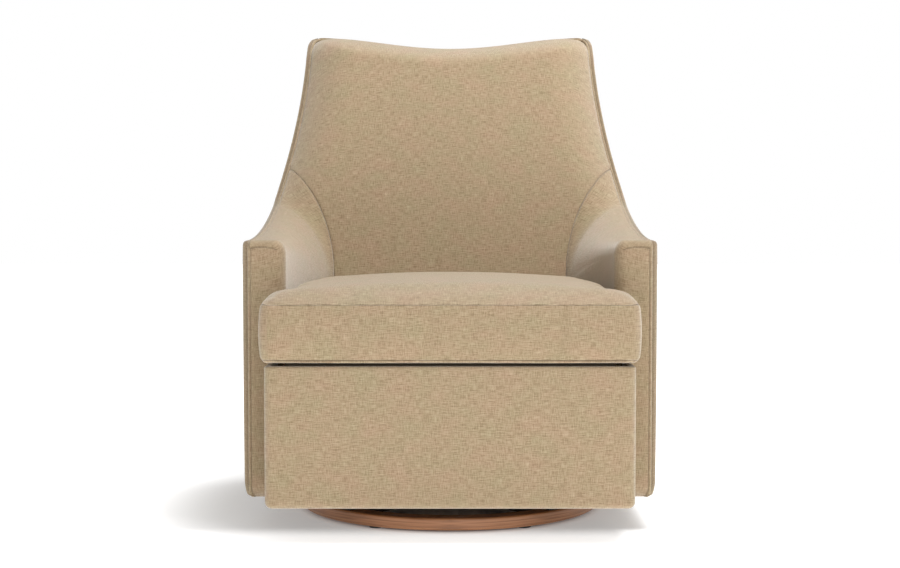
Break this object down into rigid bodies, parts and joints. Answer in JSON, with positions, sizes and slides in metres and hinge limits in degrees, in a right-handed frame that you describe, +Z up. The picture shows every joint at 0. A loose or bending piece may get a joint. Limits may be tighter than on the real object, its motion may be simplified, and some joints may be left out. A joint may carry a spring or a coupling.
{
  "type": "swivel glider chair",
  "caption": "Upholstered armchair with a loose boxed seat cushion that glides fore and aft on swing links and turns on a ball race over a round wooden floor ring.",
  "frame": {"origin": "on the floor at the swivel axis, under the middle of the chair", "axes": "+Z up, the chair faces -Y, +X to the right of someone looking at the chair's front"},
  "size_m": [0.762, 0.8078, 0.983],
  "materials": {
    "linen": "fine linen-look cross weave with slubs, soft sheen",
    "piping_linen": "bias-cut linen over cord",
    "deck_cloth": "plain cotton deck cloth",
    "dust_cloth": "black nonwoven",
    "webbing": "elastic webbing",
    "walnut": "satin walnut stain",
    "frame_wood": "raw plywood and hardwood",
    "black_steel": "black powder coat",
    "zinc_steel": "bright zinc plate",
    "ball_steel": "polished bearing steel",
    "brass_cage": "stamped brass",
    "bush_plastic": "natural nylon",
    "glide_plastic": "black nylon",
    "stop_rubber": "black rubber"
  },
  "bodies": {
    "base": {"base_ring": "walnut", "ring_glides": "glide_plastic", "base_cross": "black_steel", "cross_screws": "zinc_steel", "lower_race": "zinc_steel", "race_bolts": "zinc_steel", "race_balls": "ball_steel", "ball_cage": "brass_cage", "king_pin": "zinc_steel", "king_nut": "zinc_steel"},
    "turning_frame": {"upper_race": "zinc_steel", "swivel_plate": "black_steel", "plate_bolts": "zinc_steel", "front_cross_bar": "black_steel", "rear_cross_bar": "black_steel", "hanger_post_left_front": "black_steel", "hanger_post_right_front": "black_steel", "hanger_post_left_rear": "black_steel", "hanger_post_right_rear": "black_steel", "upper_pivot_pins": "zinc_steel"},
    "front_links": {"front_link_left": "black_steel", "front_link_right": "black_steel", "front_link_bushes": "bush_plastic"},
    "rear_links": {"rear_link_left": "black_steel", "rear_link_right": "black_steel", "rear_link_bushes": "bush_plastic"},
    "seat_carriage": {"drop_brackets": "black_steel", "lower_pivot_pins": "zinc_steel", "seat_rail_left": "black_steel", "seat_rail_right": "black_steel", "rail_bolts": "zinc_steel", "stop_brackets": "black_steel", "stop_bumpers": "stop_rubber", "stretchers": "frame_wood", "front_rail": "frame_wood", "rear_seat_rail": "frame_wood", "side_rails": "frame_wood", "corner_blocks": "frame_wood", "arm_board_left": "frame_wood", "arm_board_right": "frame_wood", "back_post_left": "frame_wood", "back_post_right": "frame_wood", "back_cross_rails": "frame_wood", "seat_springs": "zinc_steel", "spring_clips": "zinc_steel", "seat_deck": "deck_cloth", "back_webbing": "webbing", "dust_cover": "dust_cloth", "apron": "linen", "nose_sides": "linen", "inside_arm_left": "linen", "inside_arm_right": "linen", "outside_arm_left": "linen", "outside_arm_right": "linen", "arm_facings": "linen", "inside_back": "linen", "outside_back": "linen", "piping_left": "piping_linen", "piping_right": "piping_linen", "seat_cushion": "linen"}
  },
  "joints": [
    {"name": "swivel", "type": "hinge", "parent": "base", "child": "turning_frame", "pos_m": [0, 0, 0.04], "axis": [0, 0, 1], "continuous": true},
    {"name": "front_swing", "type": "hinge", "parent": "turning_frame", "child": "front_links", "pos_m": [0, -0.095, 0.205], "axis": [1, 0, 0], "range_deg": [-28, 28]},
    {"name": "rear_swing", "type": "hinge", "parent": "turning_frame", "child": "rear_links", "pos_m": [0, 0.095, 0.205], "axis": [1, 0, 0], "range_deg": [-28, 28]},
    {"name": "seat_level", "type": "hinge", "parent": "front_links", "child": "seat_carriage", "pos_m": [0, -0.095, 0.095], "axis": [1, 0, 0], "range_deg": [-28, 28]}
  ],
  "couplings": [
    {"joint": "rear_swing", "follows": "front_swing", "ratio": 1},
    {"joint": "seat_level", "follows": "front_swing", "ratio": -1}
  ]
}
